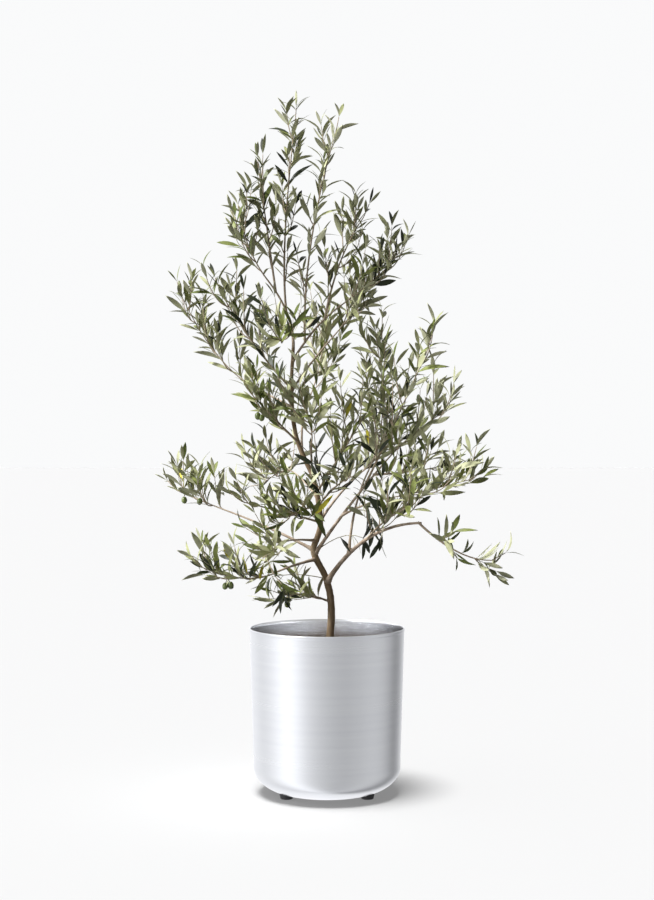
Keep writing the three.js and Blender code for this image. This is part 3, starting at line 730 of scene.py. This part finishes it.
def leaf_materials():
    """Those of the upper sides, of the lower sides and of a yellowed leaf."""
    relief = dict(bump=0.25, detail=2, depth=0.0001)
    # leaf_upper_2 takes the near-black tone, which is painted shade.
    upper = [finish(f"leaf_upper_{i}", [shade(c, 0.84), c, shade(c, 1.14)], 45, (0.42, 0.6), 900,
                    Specular_IOR_Level=0.32, **relief) for i, c in enumerate(UPPER_COLOURS_WITH_PAINTED_SHADE)]
    lower = [finish(f"leaf_lower_{i}", [shade(c, 0.9), c, shade(c, 1.08)], 60, (0.6, 0.8), 1100,
                    Specular_IOR_Level=0.25, **relief) for i, c in enumerate(LOWER_COLOURS)]
    yellow = finish("leaf_yellow", YELLOW, 60, (0.45, 0.6), 900, **relief)
    return upper + lower + [yellow]


# ---- Pieces ----

LEAF_STATIONS = [  # share of the length, share of the width, half thickness in millimetres
    (0.0, 0.0, 0.0), (0.07, 0.1, 0.42), (0.2, 0.44, 0.4), (0.38, 0.88, 0.34),
    (0.56, 1.0, 0.28), (0.75, 0.82, 0.22), (0.9, 0.4, 0.16), (1.0, 0.0, 0.0),
]


def leaf_mesh(name, leaves, materials):
    """All leaves of a crown: closed blades, folded a little along the midrib and arched."""
    rows = np.array(leaves)
    root, ahead, upper = rows[:, 0:3], rows[:, 3:6], rows[:, 6:9]
    length, width, arch, twist, tone = rows[:, 9:].T
    side = np.cross(ahead, upper)
    rings = []
    for share, wide, thick in LEAF_STATIONS:
        bend = (arch * share)[:, None]
        centre = root + length[:, None] * (ahead * share - upper * bend * share)
        normal = unit(upper + ahead * 2 * bend)
        turn = (twist * share * 2)[:, None]
        across = unit(side + normal * turn)
        lift = unit(normal - side * turn)
        reach = (wide * width / 2)[:, None]
        fold = lift * reach * LEAF["fold"]
        rings.append(np.stack([
            centre + lift * thick, centre + across * reach + fold,
            centre - lift * thick, centre - across * reach + fold], 1))
    rings = np.stack(rings, 1)
    m, n, sides, _ = rings.shape
    corners, quads, triangles = tubes(rings[:, 1:-1])
    size = (n - 2) * sides + 2
    corners = corners.reshape(m, size, 3)
    corners[:, -2], corners[:, -1] = rings[:, 0, 0], rings[:, -1, 0]
    # The quads of all leaves come first, then the triangles that close their ends.
    sides_of = np.tile(np.arange(sides), m * (n - 1))
    owner = np.concatenate([np.repeat(np.arange(m), bands * sides) for bands in (n - 3, 2)])
    is_upper = (sides_of == 0) | (sides_of == 3)
    tones = tone.astype(int)[owner]
    slots = np.where(is_upper | (tones > UPPER_TONES), tones, UPPER_TONES + tones % LOWER_TONES)
    piece = make_piece(name, corners.reshape(-1, 3), quads, triangles, materials, slots)
    mark_margins(piece.data, size, sides, n - 2)
    return piece


def mark_margins(mesh, size, sides, rings):
    """The two edges of each blade stay sharp, so that its faces shade apart."""
    ends = np.zeros(len(mesh.edges) * 2, int)
    mesh.edges.foreach_get("vertices", ends)
    place = ends.reshape(-1, 2) % size
    line = np.where(place < rings * sides, place % sides, -1)
    margin = (line[:, 0] == line[:, 1]) & ((line[:, 0] == 1) | (line[:, 0] == 3))
    sharp = mesh.attributes.new("sharp_edge", "BOOLEAN", "EDGE")
    sharp.data.foreach_set("value", margin)


def twig_mesh(rows, sides, knots=0.0):
    """Closed tubes along all of a crown's twigs of one kind, from their rows."""
    paths, base, tip = (np.array(column) for column in zip(*rows))
    share = np.linspace(0, 1, paths.shape[1])
    radii = mix(base[:, None], tip[:, None], share ** 0.8)
    if knots:
        radii = radii * (1 + knots * lattice_noise(paths / 9, 3))
    return tubes(tube_rings(paths, radii, sides))


def bark_tube(path, radius_at, sides, step, seed):
    """One limb with its bark: shallow furrows along it, lumps and small warts."""
    count = max(8, int(path.length / step))
    share = np.linspace(0, 1, count)
    points = path.at(share)
    radii = np.array([radius_at(s) for s in share])
    rings = tube_rings(points[None], radii[None], sides)[0]
    out = unit(rings - points[:, None])
    turns = np.arange(sides) * 2 * math.pi / sides
    along = (share * path.length)[:, None] + 0 * turns
    waist = np.minimum(radii, 8)[:, None]
    x, y = np.cos(turns) * waist, np.sin(turns) * waist

    def noise_at(width, length, layers, seed):
        """Noise whose features have this width and length in millimetres."""
        return layered_noise(np.stack([x / width, y / width, along / length], -1), layers, seed)

    furrows = -np.abs(noise_at(1.7, 16, 3, seed)) * 0.075
    lumps = noise_at(6, 14, 1, seed + 9) * 0.07
    warts = np.maximum(noise_at(1.1, 1.6, 1, seed + 17) - 0.52, 0) * 0.16
    relief = (furrows + lumps + warts) * radii[:, None]
    return tubes((rings + out * relief[..., None])[None])


def bough_radius(limb, start_radius, swell):
    """A bough's radius, swelling into a collar where it leaves its parent."""
    path, plain = limb["path"], limb["radius"]

    def radius(share):
        beyond = max(0.0, share * path.length - start_radius)
        collar = 1 + swell * math.exp(-beyond / COLLAR["length"])
        return plain(share) * mix(1, SLIM_TIP, share) * collar

    return radius


def dress_limbs():
    """The bark of the trunk, and that of all boughs as one piece."""
    trunk_finish = finish("trunk_bark", [(104, 84, 62), (150, 128, 100), (184, 164, 136)],
                          (60, 60, 22), (0.7, 0.95), (420, 420, 160), bump=0.6, depth=0.0008)
    bough_finish = finish("bough_bark", [(148, 128, 108), (190, 170, 150), (214, 198, 180)],
                          (70, 70, 40), (0.7, 0.95), (420, 420, 200), bump=0.6, depth=0.0006)
    trunk = limbs["trunk"]
    bark = bark_tube(trunk["path"], trunk["radius"], sides=44, step=1.7, seed=1)
    trunk_bark = make_piece("trunk_bark", *bark, [trunk_finish])
    parts = []
    for number, (name, parent, at, *_) in enumerate(BOUGHS):
        limb, start_radius = limbs[name], float(limbs[parent]["radius"](at))
        radius = bough_radius(limb, start_radius, 0 if at == 1 else COLLAR["swell"])
        parts.append(bark_tube(limb["path"], radius, sides=24, step=2.2, seed=30 + number * 5))
    bough_bark = make_piece("bough_bark", *joined(parts), [bough_finish])
    boughs = [f"bough_{name}" for name, *_ in BOUGHS]
    for piece, nodes in ((trunk_bark, ["trunk"]), (bough_bark, boughs)):
        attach(piece, "root")
        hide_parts(*nodes)


def olive_mesh(fruit):
    """The olives: ovals with a small nipple at the end, and their stalks."""
    turn = np.linspace(0, math.pi, 19)
    half = OLIVE["height"] / 2
    profile = np.stack([OLIVE["width"] / 2 * np.sin(turn) ** 0.92, -half * np.cos(turn)], -1)
    profile[0, 0] = profile[-1, 0] = 0
    profile[0, 1] -= 0.5
    corners, *faces = lathe(profile, 24)
    bodies, stalks = [], []
    for number, (root, centre) in enumerate(fruit):
        pick = seeded(OLIVE_SEED + number)
        lean = leaning(UP, sideways(UP, pick(0, 6)), pick(0, 0.35))
        across = sideways(lean, 0)
        basis = np.stack([across, np.cross(lean, across), lean])
        size = pick(0.9, 1.06)
        bodies.append((corners * size @ basis + centre, *faces))
        top = centre + lean * half * size * 0.97
        path = bezier(root, mix(root, top, 0.5) + UP * 2, top, 8)
        stalks.append((path.at(np.linspace(0, 1, 8)), *OLIVE["stalk_radii"]))
    return joined(bodies), stalks


def grow_crown():
    """Both halves of the crown, lower and upper, as joined pieces of each kind."""
    bark = finish("young_bark", [(142, 124, 104), (182, 164, 142), (204, 190, 168)], 140,
                  (0.6, 0.85), 500, bump=0.5, depth=0.0004)
    green_bark = finish("green_bark", [(150, 146, 116), (176, 170, 140), (196, 190, 164)], 160,
                        (0.55, 0.8), 700, bump=0.3, depth=0.0002)
    skin = finish("olive_skin", [(84, 100, 46), (112, 128, 62), (132, 144, 82)], 130,
                  (0.22, 0.36), 900, bump=0.08, depth=0.0001, Coat_Weight=0.2)
    tones = leaf_materials()
    reserve_stems()
    fruit = []
    halves = dict(lower=range(FIRST_UPPER_MASS), upper=range(FIRST_UPPER_MASS, len(MASSES)))
    for half, numbers in halves.items():
        crown = {kind: [] for kind in ("stems", "shoots", "twiglets", "leaves", "fruit")}
        for number in numbers:
            grow_mass(crown, number)
        if half == "lower":
            grow_side_twigs(crown)
        nodes = [f"mass_{MASSES[number][0]}" for number in numbers]
        fruit += crown["fruit"]
        pieces = [leaf_mesh(f"leaves_{half}", crown["leaves"], tones)]
        for kind, sides, knots, material in (("stems", 10, 0.1, bark), ("shoots", 6, 0.06, bark),
                                             ("twiglets", 5, 0, green_bark)):
            arrays = twig_mesh(crown[kind], sides, knots)
            pieces.append(make_piece(f"{kind}_{half}", *arrays, [material]))
        for piece in pieces:
            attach(piece, "root")
            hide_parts(*nodes)
    bodies, stalks = olive_mesh(fruit)
    for piece in (make_piece("olives", *bodies, [skin]),
                  make_piece("olive_stalks", *twig_mesh(stalks, 6), [green_bark])):
        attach(piece, "root")


# ---- Pot, soil and feet ----

POT_SIDES, SOIL_SIDES, FOOT_SIDES = 200, 220, 48
FOOT_TREAD = [(0.0, 0.86), (0.02, 0.94), (0.08, 1.0)]  # share of the height, of the radius
CRUMBS = dict(count=420, sizes=(1.2, 4.2), from_edge=8, raised=0.3)
TRUNK_HEAP = dict(height=2.5, radius=12, width=16)


def wall_radius(height):
    foot = POT["base_height"] + POT["corner_rise"]
    return mix(POT["low_radius"], POT["rim_radius"], (height - foot) / (POT["rim_height"] - foot))


def corner_profile(inset, steps):
    turn = np.linspace(0, math.pi / 2, steps)
    reach = POT["low_radius"] - POT["flat_radius"] - inset
    rise = POT["corner_rise"] - inset
    return [(POT["flat_radius"] + reach * math.sin(a),
             POT["base_height"] + POT["corner_rise"] - rise * math.cos(a)) for a in turn]


def pot_profile():
    """The shell from the middle of its underside, over the rolled hem, to its inside."""
    top, hem, step, wall = POT["rim_height"], POT["hem_height"], POT["hem_step"], POT["wall"]
    hem_foot = top - hem
    lip = (wall + step) / 2
    outer = [(wall_radius(z) - step, z) for z in np.linspace(60, hem_foot - 0.8, 40)[1:]]
    inner = [(wall_radius(z) - step - wall, z) for z in np.linspace(hem_foot - 0.8, 60, 40)[:-1]]
    roll = [(POT["rim_radius"] - lip + lip * math.cos(a), top - lip + lip * math.sin(a))
            for a in np.linspace(0, math.pi, 9)]
    fold = [(wall_radius(hem_foot) - step, hem_foot),
            (wall_radius(hem_foot) - 0.15, hem_foot + 0.35),
            (wall_radius(hem_foot + 1), hem_foot + 1)]
    under, floor = ([(30, POT["base_height"] + up), (0, POT["base_height"] + up)]
                    for up in (0, wall))
    return (under[::-1] + corner_profile(0, 20) + outer + fold + roll + inner
            + corner_profile(wall, 20)[::-1] + floor)


def make_pot():
    """The shell. From just past the rim's crest inwards its colour is lighter, painted light for
    the bright inside, and its streaks are longer.
    """
    profile = pot_profile()
    corners, quads, triangles = lathe(profile, POT_SIDES)
    outside = aluminium("spun_aluminium", [(220, 222, 226), (224, 226, 229), (228, 230, 232)],
                        (0.25, 0.29), 0.7)
    # The inside's lighter colours are painted light: they lift a wall that its reflections alone
    # leave dark.
    inside = aluminium("inner_aluminium_painted_light", [(236, 237, 239), (239, 240, 242), (242, 243, 244)],
                       (0.17, 0.2), 0.95)
    crest = 1 + int(np.argmax([height for _, height in profile[1:-1]]))
    slots = np.concatenate([np.arange(len(quads)) // POT_SIDES >= crest,
                            [False] * POT_SIDES, [True] * POT_SIDES])
    pot = make_piece("pot_shell", corners, quads, triangles, [outside, inside], slots)
    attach(pot, "root")
    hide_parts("pot")


def make_soil():
    """The soil: a rough domed bed, heaped a little round the trunk, with loose crumbs on it."""
    inset = POT["wall"] + GAP
    edge_height = POT["rim_height"] - SOIL["below_rim"]
    edge = wall_radius(edge_height) - inset - POT["hem_step"]
    shares = np.linspace(1, 0, 90)[:-1]
    skirt = [(0, POT["base_height"] + inset)] + corner_profile(inset, 10)
    dome = [(edge * s, edge_height + SOIL["crown"] * (1 - s * s)) for s in shares]
    corners, *faces = lathe(skirt + dome + [(0, SOIL_TOP)], SOIL_SIDES)
    first = (len(skirt) - 1) * SOIL_SIDES
    surface = slice(first, first + len(dome) * SOIL_SIDES)
    top = corners[surface].reshape(len(dome), SOIL_SIDES, 3)
    flat = top * (1, 1, 0)
    away = np.linalg.norm(top[..., :2], axis=-1)
    rough = layered_noise(flat / 17, 4, 40) * 2.2 + np.abs(layered_noise(flat / 5.5, 3, 50)) * 2.4
    fade = np.clip((edge - away) / 6, 0.15, 1)
    heap = np.exp(-((away - TRUNK_HEAP["radius"]) / TRUNK_HEAP["width"]) ** 2)
    top[..., 2] += rough * fade + TRUNK_HEAP["height"] * heap
    corners[surface] = top.reshape(-1, 3)
    material = finish("potting_soil", [(62, 48, 37), (94, 76, 60), (130, 110, 90)], 260,
                      (0.85, 1), 900, bump=0.8, depth=0.001)
    bed = make_piece("soil_bed", corners, *faces, [material])
    pick = seeded(CRUMB_SEED)
    ball, *faces = lathe([(math.sin(a), -math.cos(a)) for a in np.linspace(0, math.pi, 7)], 8)
    clods = []
    for number in range(CRUMBS["count"]):
        radius = (edge - CRUMBS["from_edge"]) * math.sqrt(pick(0.006, 1))
        turn = pick(0, 2 * math.pi)
        size = pick(*CRUMBS["sizes"])
        height = edge_height + SOIL["crown"] * (1 - (radius / edge) ** 2) + size * CRUMBS["raised"]
        spot = vec((radius * math.cos(turn), radius * math.sin(turn), height))
        lumps = 1 + 0.35 * lattice_noise(ball * 1.3 + number, 5)[:, None]
        clods.append((ball * lumps * size * (1, pick(0.6, 1), pick(0.5, 0.8)) + spot, *faces))
    crumbs = make_piece("soil_crumbs", *joined(clods), [material])
    for piece in (bed, crumbs):
        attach(piece, "root")
    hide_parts("soil")


def underside(x, y):
    """How high the pot's underside is over a place on the floor."""
    reach = POT["low_radius"] - POT["flat_radius"]
    out = np.clip((np.hypot(x, y) - POT["flat_radius"]) / reach, 0, 1)
    return POT["base_height"] + POT["corner_rise"] * (1 - np.sqrt(1 - out ** 2))


def make_feet():
    """Rubber feet: short cones with a rounded tread, cut to the pot's underside."""
    rubber = finish("foot_rubber", [(18, 18, 20), (28, 28, 30), (38, 38, 40)], 180,
                    (0.55, 0.75), 900, bump=0.4, depth=0.0003)
    turns = np.arange(FOOT_SIDES) * 2 * math.pi / FOOT_SIDES
    levels = FOOT_TREAD + [(share, 1.0) for share in np.linspace(0.16, 1, 12)]
    parts = []
    for x in (-FOOT["x"], FOOT["x"]):
        for y in (-FOOT["y"], FOOT["y"]):
            rings = []
            for share, inset in levels:
                radius = mix(FOOT["bottom_radius"], FOOT["top_radius"], share / 2) * inset
                px, py = x + radius * np.cos(turns), y + radius * np.sin(turns)
                rings.append(np.stack([px, py, underside(px, py) * share], -1))
            parts.append(tubes(np.stack(rings)[None]))
    feet = make_piece("feet", *joined(parts), [rubber])
    nodes = [f"foot_{end}_{side}" for end in ("front", "back") for side in ("left", "right")]
    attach(feet, "root")
    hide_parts(*nodes)


# ---- Studio ----

# Brightness of the studio round the tree, by degrees to the right of the camera.
SURROUND = [
    (-180, 1.25), (-133, 1.1), (-114, 0.9), (-88, 1.1), (-68, 1.5), (-48, 1.4), (-34, 0.95),
    (-16, 0.76), (4, 0.62), (28, 0.54), (48, 0.64), (78, 0.76), (104, 0.62), (118, 0.3),
    (132, 0.34), (158, 1.1),
]
# Suns: name, strength, width in degrees, turns about x, y and z from straight down.
TREE_LIGHTS = [("key", 5.0, 8, (8, -42, 0)), ("side", 1.4, 24, (0, -74, 35))]
FLOOR_LIGHT = ("floor_light", 3.4, 26, (8, -8, 0))
SHINE = 2  # strength of the surround in reflections, so that its colours stay within 1
SOFT_LIGHT = 0.24  # strength of the surround as light on the tree
BLUE = 1.02  # the surround's blue, by its red
BACKDROP = (0.955, 0.96, 0.965, 1)
FLOOR = dict(reach=60000, colour=(0.62, 0.621, 0.623, 1), glow=0.225, bounce=(0.16, 0.16, 0.16, 1))
CAMERA = dict(place=(0, -3.33, 0.7497), lens=60.8)


def light_the_world():
    """A surround with brighter and darker sides, which the pot reflects as upright bands."""
    world = bpy.data.worlds.new("studio")
    bpy.context.scene.world = world
    world.use_nodes = True
    tree = world.node_tree
    tree.nodes.clear()
    x = add_node(tree, "SeparateXYZ", "X", add_node(tree, "TexCoord", "Generated"))
    forward = add_math(tree, "MULTIPLY", x.node.outputs["Y"], -1)
    angle = add_math(tree, "ARCTAN2", x, forward)
    share = add_node(tree, "MapRange", "Result", angle, From_Min=-math.pi, From_Max=math.pi)
    band = add_ramp(tree, share, [
        ((degrees + 180) / 360, (light / SHINE, light / SHINE, light / SHINE * BLUE))
        for degrees, light in SURROUND])
    glossy = add_node(tree, "LightPath", "Is Glossy Ray")
    rays = glossy.node.outputs
    direct = add_math(tree, "LESS_THAN", rays["Diffuse Depth"], 0.5)
    mirrored = add_math(tree, "MULTIPLY", glossy, direct)
    strength = add_node(tree, "MapRange", "Result", mirrored, To_Min=SOFT_LIGHT, To_Max=SHINE)
    walls = add_node(tree, "Background", "Background", band, strength)
    plain = add_node(tree, "Background", "Background", BACKDROP)
    either = add_node(tree, "MixShader", "Shader", rays["Is Camera Ray"], walls, plain)
    put(tree.nodes.new("ShaderNodeOutputWorld").inputs["Surface"], either)


def add_sun(name, energy, angle, turn):
    sun = bpy.data.lights.new(name, "SUN")
    sun.energy, sun.angle = energy, math.radians(angle)
    lamp = add_object(name, sun)
    lamp.rotation_euler = [math.radians(degrees) for degrees in turn]
    return lamp


def link_floor(lamp, floor, state):
    """INCLUDE lets the lamp light the floor alone, and EXCLUDE all but the floor."""
    lit = bpy.data.collections.new(f"{lamp.name}_receivers")
    lit.objects.link(floor)
    lit.collection_objects[0].light_linking.link_state = state
    lamp.light_linking.receiver_collection = lit


def make_floor():
    """A pale floor. The camera sees it bright, and it throws little light back on the tree."""
    material, tree, shader = new_material("floor")
    fill(shader, dict(Base_Color=FLOOR["colour"], Emission_Color=(1, 1, 1, 1),
                      Emission_Strength=FLOOR["glow"], Roughness=0.9, Specular_IOR_Level=0))
    bounce = add_node(tree, "BsdfDiffuse", "BSDF", Color=FLOOR["bounce"])
    seen = add_node(tree, "LightPath", "Is Camera Ray")
    either = add_node(tree, "MixShader", "Shader", seen, bounce, shader.outputs["BSDF"])
    put(tree.nodes["Material Output"].inputs["Surface"], either)
    corners = FLOOR["reach"] * vec([(-1, -1, 0), (1, -1, 0), (1, 1, 0), (-1, 1, 0)])
    floor = make_piece("floor", corners, np.arange(4)[None], np.zeros((0, 3), int), [material])
    floor.visible_glossy = False
    return floor


def studio():
    """The floor, the surround, two suns for the tree, one for the floor, and the camera."""
    floor = make_floor()
    light_the_world()
    for light in TREE_LIGHTS:
        link_floor(add_sun(*light), floor, "EXCLUDE")
    over_floor = add_sun(*FLOOR_LIGHT)
    link_floor(over_floor, floor, "INCLUDE")
    blockers = bpy.data.collections.new("on_the_floor")
    for name in ("pot_shell", "feet"):
        blockers.objects.link(bpy.data.objects[name])
    over_floor.light_linking.blocker_collection = blockers

    camera = add_object("camera", bpy.data.cameras.new("camera"))
    camera.data.lens = CAMERA["lens"]
    camera.location = CAMERA["place"]
    camera.rotation_euler = (math.pi / 2, 0, 0)
    bpy.context.scene.camera = camera
    bpy.context.scene.view_settings.view_transform = "Standard"


grow_limbs()
dress_limbs()
grow_crown()
make_pot()
make_soil()
make_feet()
studio()
